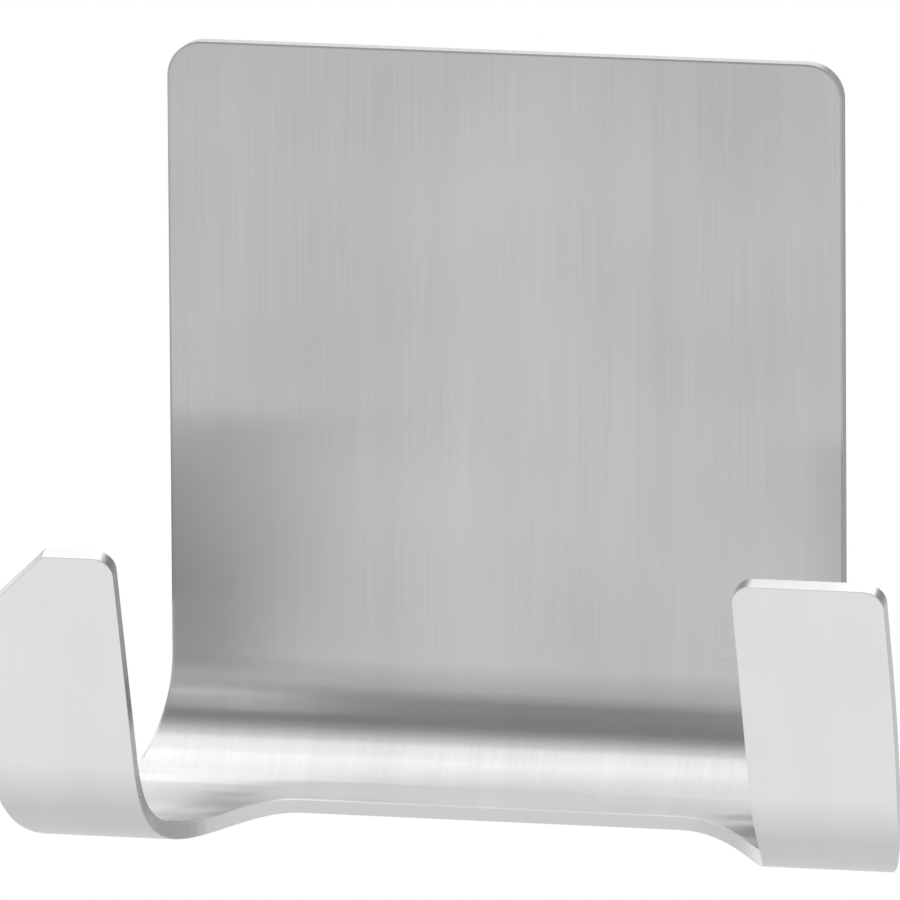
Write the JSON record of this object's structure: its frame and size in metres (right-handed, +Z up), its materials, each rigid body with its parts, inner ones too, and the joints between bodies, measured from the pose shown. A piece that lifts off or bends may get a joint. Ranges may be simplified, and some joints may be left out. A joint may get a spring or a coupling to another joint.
{
  "type": "adhesive double hook",
  "caption": "Self-adhesive wall hook folded from one brushed steel sheet: a square back plate rolls forward into splayed, outward-leaning prongs beside a wide notch.",
  "frame": {"origin": "centre of the foam pad's wall face, which is also the centre of the flat plate", "axes": "+Z up, +Y into the wall, so the hook faces -Y, and +X to the viewer's right"},
  "size_m": [0.0676, 0.0291, 0.0566],
  "materials": {
    "brushed_steel": "stainless sheet brushed along its length, edges broken",
    "foam_tape": "white closed-cell foam tape"
  },
  "bodies": {
    "root": {"hook_plate": "brushed_steel", "adhesive_pad": "foam_tape"}
  },
  "joints": []
}
